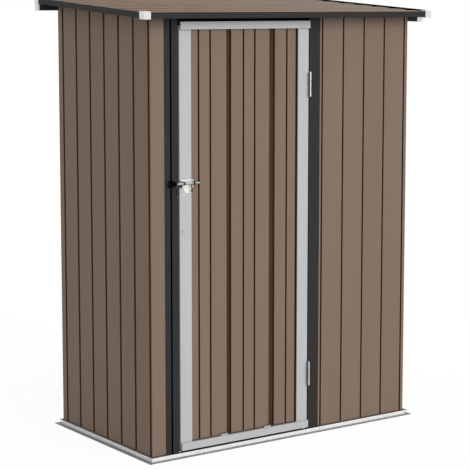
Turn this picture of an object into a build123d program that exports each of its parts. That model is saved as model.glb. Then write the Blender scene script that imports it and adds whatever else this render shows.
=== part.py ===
from build123d import *
from math import radians, tan
import os

os.makedirs("parts", exist_ok=True)

# Metal tool shed with a pent roof, high at the rear, and one hinged door in its front.
# X runs along the front, the front faces -Y, and Z = 0 is the ground under the base rails.
# The origin is at the middle of the walls and of the roof.

# Walls of thin fluted sheet
wall_width = 1313.0
wall_depth = 724.0
sheet = 1.0
flute_pitch = 112.0
flute_mouth = 8.0
flute_floor = 6.0
flute_depth = 8.0
side_flute_mouth = 13.0
side_flute_floor = 9.0
side_first_flute = 12.6
front_first_flute = 12.4
rear_first_flute = 18.8
seat_gap = 0.2
wall_lap = 6.0
cut_past = 1.0

# Base rails
rail_sheet = 1.5
rail_height = 16.0
rail_stand_off = 5.0
flange_reach = 22.0
lip_offset = 12.0
ledge_reach = 18.0
mitre_length = 90.0

# Roof
roof_slope = 3.8
roof_overhang = 70.0
eave_level = 1754.5
trim_height = 24.0
trim_foot_lip = 22.0
trim_head_lip = 6.0
trim_sheet = 1.5
roof_sheet_level = 16.5
roof_rib_pitch = 115.5
roof_rib_first = 67.0
roof_rib_width = 62.0
roof_rib_crest = 56.0
roof_rib_height = 4.5
cap_size = 32.0
cap_wall = 1.5
cap_rise = 3.0

# Frame under the roof
top_rail_height = 24.0
top_rail_width = 25.0
top_rail_reach = 92.0
front_cap_length = 29.0
rear_cap_length = 4.0
frame_sheet = 1.5
rafter_width = 40.0
rafter_inset = 250.0
corner_leg = 38.0
brace_height = 40.0
brace_width = 20.0
brace_level = 880.0

# Front wall, measured from its left corner
corner_panel_width = 66.0
corner_panel_flat = 53.0
corner_panel_bend = 3.0
left_post_width = 61.0
left_post_flute = 27.7
post_flute_width = 8.0
post_flute_depth = 10.0
right_post_width = 55.5
post_depth = 34.0
door_stop_width = 18.0
door_stop_gap = 6.0
threshold_height = 30.0

# Door
door_left = 133.5
door_width = 639.5
door_foot = 26.0
door_head_gap = 13.0
door_side_gap = 5.5
stile_width_left = 55.5
stile_width_right = 54.0
stile_proud = 1.0
stile_depth = 15.0
door_sheet = 1.5
door_rail_height = 30.0
door_rail_proud = 12.0
door_rail_depth = 15.0
clip_width = 32.0
clip_height = 6.0
clip_overlap = 4.0
panel_recess = 1.0
panel_lap = 14.0
panel_flute_first = 36.6
panel_flute_pair = 56.0
panel_fold_offset = 146.0
panel_pattern = 218.0
panel_fold_mouth = 24.0
panel_fold_floor = 18.0
panel_fold_depth = 9.0
panel_last_fold_extra = 5.0
panel_edge_fold = 11.0
door_brace_width = 50.0
door_brace_level = 840.0

# Hinges
hinge_length = 101.0
hinge_foot_inset = 182.0
hinge_head_inset = 210.5
pin_radius = 3.0
pin_clearance = 0.08
knuckle_radius = 6.2
knuckle_gap = 0.5
leaf_sheet = 1.8
leaf_depth = 14.0
leaf_clearance = 0.8
pin_forward = 8.0

# Latch, measured from the front wall's left corner
bolt_radius = 4.0
bolt_tip = 114.0
bolt_length = 107.0
bolt_level = 1107.0
bolt_forward = 12.5
bolt_clearance = 0.3
bolt_travel = 24.0
latch_sheet = 2.0
latch_left = 145.0
latch_width = 52.0
latch_head = 12.0
latch_shoulder = 14.0
latch_toe = 40.0
latch_toe_width = 22.0
latch_corner = 4.0
latch_screw_radius = 2.0
latch_screw_spacing = 24.0
latch_screw_drop = 14.0
guide_width = 6.0
guide_wall = 2.0
grip_radius = 3.0
grip_left = 135.0
grip_length = 56.0
lever_place = 183.5
lever_radius = 2.5
lever_drop = 31.0
knob_radius = 4.0
keeper_left = 80.0
keeper_width = 24.0
keeper_slot = 15.0
keeper_flange = 3.0
keeper_sheet = 2.0
keeper_reach = 18.0

# Worked out from the sizes above
left_x = -wall_width / 2
right_x = wall_width / 2
front_y = -wall_depth / 2
rear_y = wall_depth / 2
inner_face = flute_depth + sheet + seat_gap
roof_half_width = wall_width / 2 + roof_overhang
roof_half_depth = wall_depth / 2 + roof_overhang
rise = tan(radians(roof_slope))
sheet_foot = rail_sheet + seat_gap
sky = 2 * eave_level
door_left_x = left_x + door_left
door_right_x = door_left_x + door_width
stile_face_y = front_y - stile_proud
stile_back_y = stile_face_y + stile_depth
rail_face_y = front_y - door_rail_proud
rail_back_y = rail_face_y + door_rail_depth
door_head = eave_level - door_head_gap


def roof_foot(y):
    """Height of the underside of the roof trims at a place along the depth."""
    return eave_level + rise * (y + roof_half_depth)


def prism(points, axis, start, end):
    """Closed outline extruded along X, Y or Z.

    The outline is in (y, z) for X, (x, z) for Y and (x, y) for Z.
    """
    planes = {
        "X": Plane.YZ.offset(start),
        "Y": Plane.XZ.offset(-end),
        "Z": Plane.XY.offset(start),
    }
    plane = planes[axis]
    face = plane * make_face(Polyline(*points, close=True))
    return extrude(face, amount=end - start, dir=plane.z_dir)


def slab(low, high):
    """Upright block between two opposite corners."""
    outline = [(low[0], low[1]), (high[0], low[1]), (high[0], high[1]), (low[0], high[1])]
    return prism(outline, "Z", low[2], high[2])


def rod(start, direction, radius, length):
    """Round bar from a point along a direction."""
    return extrude(Plane(start, z_dir=direction) * Circle(radius), amount=length)


def half_turn(part):
    """The same piece, turned end for end about the middle of the shed."""
    return Rot(0, 0, 180) * part


def band(y_start, y_end, low, high):
    """Outline in (y, z) of a strip that follows the roof slope."""
    return [
        (y_start, roof_foot(y_start) + low),
        (y_end, roof_foot(y_end) + low),
        (y_end, roof_foot(y_end) + high),
        (y_start, roof_foot(y_start) + high),
    ]


def under_roof(part, level):
    """Cut a piece off along the roof slope, at a level above the underside of the trims."""
    far = 3 * roof_half_depth
    return part - prism(band(-far, far, level, sky), "X", -sky, sky)


def fluted_outline(length, flutes, thickness):
    """Section of a thin sheet with flutes pressed inwards from its outer face, v = 0.

    Each flute is (centre, mouth, floor, depth).
    """
    outer = [(0, 0)]
    inner = [(0, thickness)]
    for centre, mouth, floor, depth in flutes:
        outer += [
            (centre - mouth / 2, 0),
            (centre - floor / 2, depth),
            (centre + floor / 2, depth),
            (centre + mouth / 2, 0),
        ]
        inner += [
            (centre - mouth / 2 - thickness, thickness),
            (centre - floor / 2 - thickness, depth + thickness),
            (centre + floor / 2 + thickness, depth + thickness),
            (centre + mouth / 2 + thickness, thickness),
        ]
    outer.append((length, 0))
    inner.append((length, thickness))
    return outer + inner[::-1]


def wall_flutes(length, first, mouth, floor):
    """Flutes of a wall sheet, one every flute pitch."""
    room = length - first - mouth / 2 - 2 * sheet
    count = int(room // flute_pitch) + 1
    return [(first + i * flute_pitch, mouth, floor, flute_depth) for i in range(count)]


def wall_sheet(length, flutes, lap, place):
    """Standing sheet; place turns a point of its section into a point of the plan."""
    outline = fluted_outline(length, flutes, sheet)
    plan = [place(u, v) for u, v in outline]
    return under_roof(prism(plan, "Z", sheet_foot, sky), lap)


parts = {}

# Base rails: a ground flange outside, a web that hides the foot of the wall, a lip inside
web_offset = rail_stand_off + rail_sheet
rail_half_width = wall_width / 2 + web_offset + flange_reach
rail_half_depth = wall_depth / 2 + web_offset + flange_reach


def base_rail(half_length, distance):
    """Rail on the -Y side with 45 degree ends; distance is from the middle to its outer edge."""
    outer = -distance
    web = outer + flange_reach
    lip = web + web_offset + lip_offset
    section = [
        (outer, 0),
        (lip + rail_sheet, 0),
        (lip + rail_sheet, rail_height),
        (lip, rail_height),
        (lip, rail_sheet),
        (web + rail_sheet, rail_sheet),
        (web + rail_sheet, rail_height),
        (web, rail_height),
        (web, rail_sheet),
        (outer, rail_sheet),
    ]
    end = half_length - seat_gap
    inner_end = end - mitre_length
    plan = [
        (-end, outer),
        (end, outer),
        (inner_end, outer + mitre_length),
        (-inner_end, outer + mitre_length),
    ]
    return prism(section, "X", -half_length, half_length) & prism(plan, "Z", 0, rail_height)


def ledge(half_length, distance):
    """Outward ledge along the head of a rail on the -Y side."""
    web = -distance + flange_reach
    return slab(
        (-half_length + flange_reach, web - ledge_reach, rail_height - rail_sheet),
        (half_length - flange_reach, web, rail_height),
    )


front_rail = base_rail(rail_half_width, rail_half_depth)
side_rail = base_rail(rail_half_depth, rail_half_width)
parts["base_rail_front"] = front_rail
parts["base_rail_left"] = Rot(0, 0, -90) * side_rail
parts["base_rail_rear"] = half_turn(front_rail + ledge(rail_half_width, rail_half_depth))
parts["base_rail_right"] = Rot(0, 0, 90) * (side_rail + ledge(rail_half_depth, rail_half_width))

# Side and rear walls
side_flutes = wall_flutes(wall_depth, side_first_flute, side_flute_mouth, side_flute_floor)
parts["left_wall"] = wall_sheet(
    wall_depth, side_flutes, wall_lap, lambda u, v: (left_x + v, front_y + u)
)
parts["right_wall"] = wall_sheet(
    wall_depth, side_flutes, wall_lap, lambda u, v: (right_x - v, front_y + u)
)
sheet_end = sheet + seat_gap
rear_length = wall_width - 2 * sheet_end
parts["rear_wall"] = wall_sheet(
    rear_length,
    wall_flutes(rear_length, rear_first_flute, side_flute_mouth, side_flute_floor),
    0.0,
    lambda u, v: (right_x - sheet_end - u, rear_y - v),
)

# Front wall, left and right of the door
left_post_x = left_x + corner_panel_width
left_post_end = left_post_x + left_post_width
right_post_end = door_right_x + door_side_gap
right_post_x = right_post_end + right_post_width
corner_panel_plan = [
    (left_x + sheet_end, front_y),
    (left_x + corner_panel_flat, front_y),
    (left_post_x - seat_gap, front_y + corner_panel_bend),
    (left_post_x - seat_gap, front_y + corner_panel_bend + sheet),
    (left_x + corner_panel_flat, front_y + sheet),
    (left_x + sheet_end, front_y + sheet),
]
parts["front_panel_left"] = under_roof(prism(corner_panel_plan, "Z", sheet_foot, sky), wall_lap)
front_length = right_x - sheet_end - right_post_x - seat_gap
parts["front_panel_right"] = wall_sheet(
    front_length,
    wall_flutes(front_length, front_first_flute, flute_mouth, flute_floor),
    wall_lap,
    lambda u, v: (right_post_x + seat_gap + u, front_y + v),
)

# Top rails: the front and rear ones are one channel turned end for end, with a long free end
front_rail_y = front_y + inner_face
front_rail_head = roof_foot(front_rail_y) - seat_gap
rear_rail_y = rear_y + seat_gap
rear_rail_head = roof_foot(rear_rail_y) - seat_gap
rail_end_x = right_x + top_rail_reach


def channel(low_y, head, x_start, x_end):
    """Channel along X, open downwards."""
    foot = head - top_rail_height
    far_y = low_y + top_rail_width
    t = frame_sheet
    section = [
        (low_y, foot),
        (low_y + t, foot),
        (low_y + t, head - t),
        (far_y - t, head - t),
        (far_y - t, foot),
        (far_y, foot),
        (far_y, head),
        (low_y, head),
    ]
    return prism(section, "X", x_start, x_end)


def end_cap(low_y, head, x_end, direction, length):
    """Push-on cap: a closed end and a sleeve around the channel."""
    t = cap_wall
    x_near = x_end - direction * length
    x_far = x_end + direction * (t + seat_gap)
    x_low = min(x_near, x_far)
    x_high = max(x_near, x_far)
    foot = head - top_rail_height
    far_y = low_y + top_rail_width
    block = slab(
        (x_low, low_y - t - seat_gap, foot - t),
        (x_high, far_y + t + seat_gap, head + seat_gap / 2),
    )
    hole_end = x_end + direction * seat_gap
    hole = slab(
        (min(x_near, hole_end), low_y - seat_gap, foot - seat_gap / 2),
        (max(x_near, hole_end), far_y + seat_gap, head + t),
    )
    return block - hole


inner_left_x = left_x + inner_face
inner_right_x = right_x - inner_face
parts["top_rail_front"] = channel(front_rail_y, front_rail_head, inner_left_x, rail_end_x)
parts["top_rail_rear"] = channel(rear_rail_y, rear_rail_head, -rail_end_x, right_x)
parts["rail_cap_front"] = end_cap(
    front_rail_y, front_rail_head, rail_end_x, 1, front_cap_length
)
parts["rail_cap_rear"] = end_cap(
    rear_rail_y, rear_rail_head, -rail_end_x, -1, rear_cap_length
)

# The front rail passes through a notch in the right wall
notch = slab(
    (right_x - 2 * inner_face, front_rail_y - seat_gap, front_rail_head - top_rail_height - seat_gap),
    (right_x + cut_past, front_rail_y + top_rail_width + seat_gap, sky),
)
parts["right_wall"] = parts["right_wall"] - notch


def sloping_rail(x_wall, direction):
    """Angle inside a side wall that follows the roof slope between the front rail and the rear wall."""
    y_start = front_rail_y + top_rail_width + seat_gap
    y_end = rear_y - inner_face
    x_web = x_wall + direction * frame_sheet
    x_lip = x_wall + direction * top_rail_width
    web = prism(
        band(y_start, y_end, -top_rail_height, -seat_gap), "X", min(x_wall, x_web), max(x_wall, x_web)
    )
    lip = prism(
        band(y_start, y_end, -frame_sheet - seat_gap, -seat_gap),
        "X",
        min(x_wall, x_lip),
        max(x_wall, x_lip),
    )
    return web + lip


parts["top_rail_left"] = sloping_rail(inner_left_x, 1)
parts["top_rail_right"] = sloping_rail(inner_right_x, -1)

# Corner posts: angles that stand on the lips of the base rails, under the top rails
corner_foot = rail_height + seat_gap
corner_names = {"front_left": (-1, -1), "front_right": (1, -1), "rear_left": (-1, 1), "rear_right": (1, 1)}


def corner_post(side_x, side_y):
    x0 = side_x * (wall_width / 2 - inner_face)
    y0 = side_y * (wall_depth / 2 - inner_face)
    t = frame_sheet
    plan = [
        (x0, y0),
        (x0 - side_x * corner_leg, y0),
        (x0 - side_x * corner_leg, y0 - side_y * t),
        (x0 - side_x * t, y0 - side_y * t),
        (x0 - side_x * t, y0 - side_y * corner_leg),
        (x0, y0 - side_y * corner_leg),
    ]
    if side_y < 0:
        head = front_rail_head - top_rail_height - seat_gap
        return prism(plan, "Z", corner_foot, head)
    return under_roof(prism(plan, "Z", corner_foot, sky), -top_rail_height - seat_gap)


for name, (side_x, side_y) in corner_names.items():
    parts["corner_post_" + name] = corner_post(side_x, side_y)

# Brace halfway up the rear wall, between the corner posts
brace_end = inner_face + corner_leg + seat_gap
brace_face_y = rear_y - inner_face
brace_head = brace_level + brace_height
brace_section = [
    (brace_face_y, brace_level),
    (brace_face_y, brace_head),
    (brace_face_y - brace_width, brace_head),
    (brace_face_y - brace_width, brace_head - frame_sheet),
    (brace_face_y - frame_sheet, brace_head - frame_sheet),
    (brace_face_y - frame_sheet, brace_level),
]
parts["wall_brace_rear"] = prism(brace_section, "X", left_x + brace_end, right_x - brace_end)

# Door posts: a face beside the door, a return along the opening and a stop behind the door
stop_y = stile_back_y + door_stop_gap


def door_post(x_outer, x_opening, flute_x):
    """Post between a wall sheet and the opening; flute_x is where its face is folded in."""
    t = frame_sheet
    s = 1 if x_opening > x_outer else -1
    half = post_flute_width / 2
    outer_face = [(x_outer, front_y)]
    inner_skin = []
    if flute_x is not None:
        outer_face += [
            (flute_x - s * half, front_y),
            (flute_x - s * half, front_y + post_flute_depth),
            (flute_x + s * half, front_y + post_flute_depth),
            (flute_x + s * half, front_y),
        ]
        inner_skin = [
            (flute_x + s * (half + t), front_y + t),
            (flute_x + s * (half + t), front_y + post_flute_depth + t),
            (flute_x - s * (half + t), front_y + post_flute_depth + t),
            (flute_x - s * (half + t), front_y + t),
        ]
    stop_end = x_opening + s * door_stop_width
    plan = (
        outer_face
        + [
            (x_opening, front_y),
            (x_opening, stop_y),
            (stop_end, stop_y),
            (stop_end, stop_y + t),
            (x_opening - s * t, stop_y + t),
            (x_opening - s * t, front_y + t),
        ]
        + inner_skin
        + [
            (x_outer + s * t, front_y + t),
            (x_outer + s * t, front_y + post_depth),
            (x_outer, front_y + post_depth),
        ]
    )
    post = under_roof(prism(plan, "Z", sheet_foot, sky), wall_lap)
    far = 2 * post_depth
    low_x = min(x_outer, stop_end) - cut_past
    high_x = max(x_outer, stop_end) + cut_past
    rail_room = slab(
        (low_x, front_rail_y - seat_gap, front_rail_head - top_rail_height - seat_gap),
        (high_x, front_rail_y + far, sky),
    )
    lip_room = slab(
        (low_x, front_y + lip_offset - seat_gap, 0),
        (high_x, front_y + far, corner_foot),
    )
    return post - rail_room - lip_room


parts["door_post_left"] = door_post(left_post_x, left_post_end, left_post_x + left_post_flute)
parts["door_post_right"] = door_post(right_post_x, right_post_end, None)

# Threshold: an angle on the base rail's lip that closes the gap under the door
parts["door_threshold"] = prism(
    [
        (front_y + lip_offset, corner_foot),
        (stop_y + frame_sheet, corner_foot),
        (stop_y + frame_sheet, corner_foot + threshold_height),
        (stop_y, corner_foot + threshold_height),
        (stop_y, corner_foot + frame_sheet),
        (front_y + lip_offset, corner_foot + frame_sheet),
    ],
    "X",
    left_post_end + door_stop_width + seat_gap,
    right_post_end - door_stop_width - seat_gap,
)

# Roof: rafters, a fluted sheet whose ribs run along the front, trims and corner caps
rafter_names = {"rafter_left": -1, "rafter_right": 1}


def rafter(x_middle):
    """Channel open downwards that follows the slope, between the front and rear rails."""
    t = frame_sheet
    half = rafter_width / 2
    y_start = front_rail_y
    y_end = rear_rail_y + top_rail_width
    head = roof_sheet_level - seat_gap
    outer = prism(band(y_start, y_end, seat_gap, head), "X", x_middle - half, x_middle + half)
    inner = prism(band(y_start, y_end, 0, head - t), "X", x_middle - half + t, x_middle + half - t)
    return outer - inner


for name, side in rafter_names.items():
    parts[name] = rafter(side * (wall_width / 2 - rafter_inset))


def roof_sheet_outline():
    """Section of the roof sheet in (y, z), with raised ribs."""
    y_start = -roof_half_depth + trim_sheet + seat_gap
    y_end = roof_half_depth - trim_sheet - seat_gap
    top = [(y_start, sheet)]
    foot = [(y_start, 0.0)]
    y = -roof_half_depth + roof_rib_first
    while y + roof_rib_width / 2 + sheet < y_end:
        for side, half, level in (
            (-1, roof_rib_width / 2, 0.0),
            (-1, roof_rib_crest / 2, roof_rib_height),
            (1, roof_rib_crest / 2, roof_rib_height),
            (1, roof_rib_width / 2, 0.0),
        ):
            top.append((y + side * half, level + sheet))
            foot.append((y + side * (half - sheet), level))
        y += roof_rib_pitch
    top.append((y_end, sheet))
    foot.append((y_end, 0.0))
    return [(y, roof_foot(y) + roof_sheet_level + level) for y, level in foot + top[::-1]]


roof_sheet_half = roof_half_width - trim_sheet - seat_gap
parts["roof_sheet"] = prism(roof_sheet_outline(), "X", -roof_sheet_half, roof_sheet_half)


def eave_trim(edge_y, direction):
    """Trim along the front or rear edge: a face with a foot lip and a short head lip."""
    t = trim_sheet
    d = direction
    half = roof_half_width

    def strip(depth, low, high):
        y_end = edge_y + d * depth
        return prism(band(min(edge_y, y_end), max(edge_y, y_end), low, high), "X", -half, half)

    return (
        strip(t, 0, trim_height)
        + strip(trim_foot_lip, 0, t)
        + strip(trim_head_lip, trim_height - t, trim_height)
    )


def verge_trim(edge_x, direction):
    """Trim along a side edge, between the two eave trims."""
    t = trim_sheet
    y_end = roof_half_depth - trim_foot_lip - seat_gap

    def strip(width, low, high):
        x_far = edge_x + direction * width
        return prism(band(-y_end, y_end, low, high), "X", min(edge_x, x_far), max(edge_x, x_far))

    return (
        strip(t, 0, trim_height)
        + strip(trim_foot_lip, 0, t)
        + strip(trim_head_lip, trim_height - t, trim_height)
    )


parts["roof_trim_front"] = eave_trim(-roof_half_depth, 1)
parts["roof_trim_rear"] = eave_trim(roof_half_depth, -1)
parts["roof_trim_left"] = verge_trim(-roof_half_width, 1)
parts["roof_trim_right"] = verge_trim(roof_half_width, -1)


def corner_cap(side_x, side_y):
    """Moulded cap over a roof corner: two outer walls, a foot and a head plate."""
    x_out = side_x * (roof_half_width + seat_gap + cap_wall)
    x_in = x_out - side_x * cap_size
    y_out = side_y * (roof_half_depth + seat_gap + cap_wall)
    y_in = y_out - side_y * cap_size
    x_clear = side_x * (roof_half_width + seat_gap)
    y_clear = side_y * (roof_half_depth + seat_gap)
    block = prism(
        band(min(y_in, y_out), max(y_in, y_out), -cap_rise, trim_height + cap_rise),
        "X",
        min(x_in, x_out),
        max(x_in, x_out),
    )
    y_past = y_in - side_y * cut_past
    x_past = x_in - side_x * cut_past
    hollow = prism(
        band(min(y_past, y_clear), max(y_past, y_clear), -seat_gap, trim_height + seat_gap),
        "X",
        min(x_past, x_clear),
        max(x_past, x_clear),
    )
    return block - hollow


for name, (side_x, side_y) in corner_names.items():
    parts["roof_cap_" + name] = corner_cap(side_x, side_y)

# Door: two stiles, a fluted sheet behind them, and two rails that stand in front of the stiles
stile_foot = door_foot + door_sheet + seat_gap
stile_head = door_head - panel_lap
panel_y = front_y + panel_recess


def stile(x_edge, width, direction):
    """Channel stile: a face, a deep return at the door's edge and a short one at the sheet."""
    t = door_sheet
    d = direction
    x_far = x_edge + d * width
    plan = [
        (x_edge, stile_face_y),
        (x_far, stile_face_y),
        (x_far, panel_y - seat_gap),
        (x_far - d * t, panel_y - seat_gap),
        (x_far - d * t, stile_face_y + t),
        (x_edge + d * t, stile_face_y + t),
        (x_edge + d * t, stile_back_y),
        (x_edge, stile_back_y),
    ]
    return prism(plan, "Z", stile_foot, stile_head)


parts["door_stile_left"] = stile(door_left_x, stile_width_left, 1)
parts["door_stile_right"] = stile(door_right_x, stile_width_right, -1)

panel_left_x = door_left_x + door_sheet + seat_gap
panel_right_x = door_right_x - door_sheet - seat_gap


def door_flutes():
    """Pairs of narrow flutes with a wide fold after each pair, and a fold beside the right stile.

    The last wide fold is a little wider than the others, on its left.
    """
    start = door_left_x + stile_width_left + panel_flute_first - panel_left_x
    limit = panel_right_x - stile_width_right - panel_left_x
    pattern = (
        (0.0, flute_mouth, flute_floor, flute_depth),
        (panel_flute_pair, flute_mouth, flute_floor, flute_depth),
        (panel_fold_offset, panel_fold_mouth, panel_fold_floor, panel_fold_depth),
    )
    flutes = []
    edge_room = limit - panel_edge_fold - 2 * sheet
    while start < limit:
        for offset, mouth, floor, depth in pattern:
            if start + offset + mouth / 2 + sheet < edge_room:
                flutes.append((start + offset, mouth, floor, depth))
        start += panel_pattern
    wide = [flute for flute in flutes if flute[1] == panel_fold_mouth]
    if wide:
        centre, mouth, floor, depth = wide[-1]
        extra = panel_last_fold_extra
        flutes[flutes.index(wide[-1])] = (centre - extra / 2, mouth + extra, floor + extra, depth)
    edge_floor = panel_edge_fold - 2 * sheet
    flutes.append((limit - panel_edge_fold / 2, panel_edge_fold, edge_floor, panel_fold_depth))
    return flutes


door_outline = fluted_outline(panel_right_x - panel_left_x, door_flutes(), sheet)
door_plan = [(panel_left_x + u, panel_y + v) for u, v in door_outline]
parts["door_panel"] = prism(door_plan, "Z", stile_foot, stile_head)


def door_rail(edge_z, direction):
    """Channel across the door's foot or head; its long web is at the door's edge."""
    t = door_sheet
    d = direction
    near_z = edge_z + d * door_rail_height
    section = [
        (rail_back_y, edge_z),
        (rail_face_y, edge_z),
        (rail_face_y, near_z),
        (stile_face_y - seat_gap, near_z),
        (stile_face_y - seat_gap, near_z - d * t),
        (rail_face_y + t, near_z - d * t),
        (rail_face_y + t, edge_z + d * t),
        (rail_back_y, edge_z + d * t),
    ]
    return prism(section, "X", door_left_x, door_right_x)


def panel_clip(fold_end):
    """Tab on the bottom rail, left of a wide fold that ends at a place, that keeps the sheet back."""
    x_end = fold_end - panel_fold_mouth + clip_overlap
    foot = door_foot + door_rail_height - door_sheet
    return slab(
        (x_end - clip_width, stile_face_y - seat_gap - door_sheet, foot),
        (x_end, stile_face_y - seat_gap, door_foot + door_rail_height + clip_height),
    )


bottom_rail = door_rail(door_foot, 1)
for centre, mouth, _, _ in door_flutes():
    if mouth >= panel_fold_mouth:
        bottom_rail += panel_clip(panel_left_x + centre + mouth / 2)
parts["door_rail_bottom"] = bottom_rail
parts["door_rail_top"] = door_rail(door_head, -1)

# Brace across the back of the door sheet
door_brace_y = panel_y + max(flute_depth, panel_fold_depth) + sheet + seat_gap
parts["door_brace"] = slab(
    (panel_left_x, door_brace_y, door_brace_level),
    (panel_right_x, door_brace_y + frame_sheet, door_brace_level + door_brace_width),
)

# Hinges: a fixed leaf with the pin and two knuckles, and a leaf on the door with one knuckle
pin_x = door_right_x + door_side_gap / 2
pin_y = front_y - pin_forward
leaf_end_y = stile_face_y + leaf_depth
knuckle_length = (hinge_length - 2 * knuckle_gap) / 3
knuckle_tab = knuckle_radius - leaf_sheet
leaf_back_off = knuckle_radius + leaf_clearance


def hinge(foot):
    """Fixed leaf and door leaf of one hinge, from its lower end."""
    low = foot + knuckle_length
    high = foot + hinge_length - knuckle_length
    head = foot + hinge_length
    post_face = right_post_end - seat_gap
    stile_face = door_right_x + seat_gap
    fixed_leaf = slab((post_face - leaf_sheet, pin_y + leaf_back_off, foot), (post_face, leaf_end_y, head))
    fixed = fixed_leaf
    for z_start, z_end in ((foot, low), (high, head)):
        fixed += slab(
            (post_face - leaf_sheet, pin_y + knuckle_tab, z_start),
            (post_face, pin_y + leaf_back_off + leaf_sheet, z_end),
        )
        fixed += rod((pin_x, pin_y, z_start), (0, 0, 1), knuckle_radius, z_end - z_start)
    fixed += rod((pin_x, pin_y, foot), (0, 0, 1), pin_radius, hinge_length)
    z_start = low + knuckle_gap
    z_end = high - knuckle_gap
    moving = slab((stile_face, pin_y + leaf_back_off, foot), (stile_face + leaf_sheet, leaf_end_y, head))
    moving += slab(
        (stile_face, pin_y + knuckle_tab, z_start),
        (stile_face + leaf_sheet, pin_y + leaf_back_off + leaf_sheet, z_end),
    )
    moving += rod((pin_x, pin_y, z_start), (0, 0, 1), knuckle_radius, z_end - z_start)
    moving -= rod((pin_x, pin_y, foot), (0, 0, 1), pin_radius + pin_clearance, hinge_length)
    return fixed, moving


hinge_levels = {
    "lower": door_foot + hinge_foot_inset,
    "upper": door_head - hinge_head_inset - hinge_length,
}
for name, level in hinge_levels.items():
    fixed_leaf, moving_leaf = hinge(level)
    parts["hinge_post_leaf_" + name] = fixed_leaf
    parts["hinge_door_leaf_" + name] = moving_leaf

# Latch: a sliding bolt in two guides on the door, and a keeper on the left post
bolt_y = front_y - bolt_forward
plate_back_y = stile_face_y - seat_gap
plate_face_y = plate_back_y - latch_sheet
plate_left_x = left_x + latch_left
plate_right_x = plate_left_x + latch_width
plate_middle_x = (plate_left_x + plate_right_x) / 2


def latch_plate():
    """Tapered back plate with two bored guides and a rolled grip along its head."""
    half_toe = latch_toe_width / 2
    outline = [
        (plate_left_x, bolt_level + latch_head),
        (plate_left_x, bolt_level - latch_shoulder),
        (plate_middle_x - half_toe, bolt_level - latch_toe),
        (plate_middle_x + half_toe, bolt_level - latch_toe),
        (plate_right_x, bolt_level - latch_shoulder),
        (plate_right_x, bolt_level + latch_head),
    ]
    plate = prism(outline, "Y", plate_face_y, plate_back_y)
    plate = fillet(plate.edges().filter_by(Axis.Y).group_by(Axis.Z)[0], latch_corner)
    for side in (-1, 1):
        hole_x = plate_middle_x + side * latch_screw_spacing / 2
        hole_z = bolt_level - latch_screw_drop
        plate -= rod(
            (hole_x, plate_face_y - cut_past, hole_z),
            (0, 1, 0),
            latch_screw_radius,
            latch_sheet + 2 * cut_past,
        )
    reach = bolt_radius + bolt_clearance + guide_wall
    for x_start in (plate_left_x, plate_right_x - guide_width):
        plate += slab(
            (x_start, bolt_y, bolt_level - reach), (x_start + guide_width, plate_face_y, bolt_level + reach)
        )
        plate += rod((x_start, bolt_y, bolt_level), (1, 0, 0), reach, guide_width)
    bore = rod(
        (plate_left_x - cut_past, bolt_y, bolt_level),
        (1, 0, 0),
        bolt_radius + bolt_clearance,
        latch_width + 2 * cut_past,
    )
    grip_y = plate_face_y - grip_radius / 2
    grip = rod((left_x + grip_left, grip_y, bolt_level + latch_head), (1, 0, 0), grip_radius, grip_length)
    return plate - bore + grip


parts["latch_plate"] = latch_plate()

lever_x = left_x + lever_place
bolt = rod((left_x + bolt_tip, bolt_y, bolt_level), (1, 0, 0), bolt_radius, bolt_length)
bolt += rod((lever_x, bolt_y, bolt_level), (0, 0, -1), lever_radius, lever_drop)
bolt += Pos(lever_x, bolt_y, bolt_level - lever_drop) * Sphere(knob_radius)
parts["latch_bolt"] = bolt


def keeper():
    """Strap over the bolt's path, with a flange above and below."""
    t = keeper_sheet
    half = keeper_slot / 2
    back = front_y - seat_gap
    out = front_y - keeper_reach
    section = [
        (back, bolt_level - half - t - keeper_flange),
        (back, bolt_level - half),
        (out, bolt_level - half),
        (out, bolt_level + half),
        (back, bolt_level + half),
        (back, bolt_level + half + t + keeper_flange),
        (back - t, bolt_level + half + t + keeper_flange),
        (back - t, bolt_level + half + t),
        (out - t, bolt_level + half + t),
        (out - t, bolt_level - half - t),
        (back - t, bolt_level - half - t),
        (back - t, bolt_level - half - t - keeper_flange),
    ]
    x_start = left_x + keeper_left
    return prism(section, "X", x_start, x_start + keeper_width)


parts["latch_keeper"] = keeper()

for name, part in parts.items():
    part.label = name
    export_step(part, f"parts/{name}.step")
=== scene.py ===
import math

import bmesh
import bpy
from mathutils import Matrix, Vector


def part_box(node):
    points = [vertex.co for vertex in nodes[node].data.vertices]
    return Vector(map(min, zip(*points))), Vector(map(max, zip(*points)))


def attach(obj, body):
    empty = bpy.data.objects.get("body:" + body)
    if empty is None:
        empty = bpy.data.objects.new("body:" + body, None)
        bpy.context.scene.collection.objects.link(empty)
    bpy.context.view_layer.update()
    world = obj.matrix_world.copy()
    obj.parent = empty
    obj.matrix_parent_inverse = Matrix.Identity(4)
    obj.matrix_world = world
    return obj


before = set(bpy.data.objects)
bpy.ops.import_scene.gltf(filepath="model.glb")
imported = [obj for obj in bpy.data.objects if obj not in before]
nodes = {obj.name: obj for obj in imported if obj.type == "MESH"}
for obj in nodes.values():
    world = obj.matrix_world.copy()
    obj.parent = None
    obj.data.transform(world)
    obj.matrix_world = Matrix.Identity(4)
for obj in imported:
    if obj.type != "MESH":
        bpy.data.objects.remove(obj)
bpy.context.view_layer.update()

# Places read from the frame, in metres
LEFT_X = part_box("left_wall")[0].x
RIGHT_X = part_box("right_wall")[1].x
FRONT_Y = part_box("front_panel_right")[0].y
REAR_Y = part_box("rear_wall")[1].y

# The roof's slope, from the underside of the front trim, and levels above that underside
TRIM_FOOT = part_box("roof_trim_front")[0]
ROOF_RISE = math.tan(math.radians(3.8))
VALLEY_LEVEL = 0.0175
CREST_LEVEL = 0.022
TRIM_HEAD = 0.024
LEVEL_MARGIN = 0.0005


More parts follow.
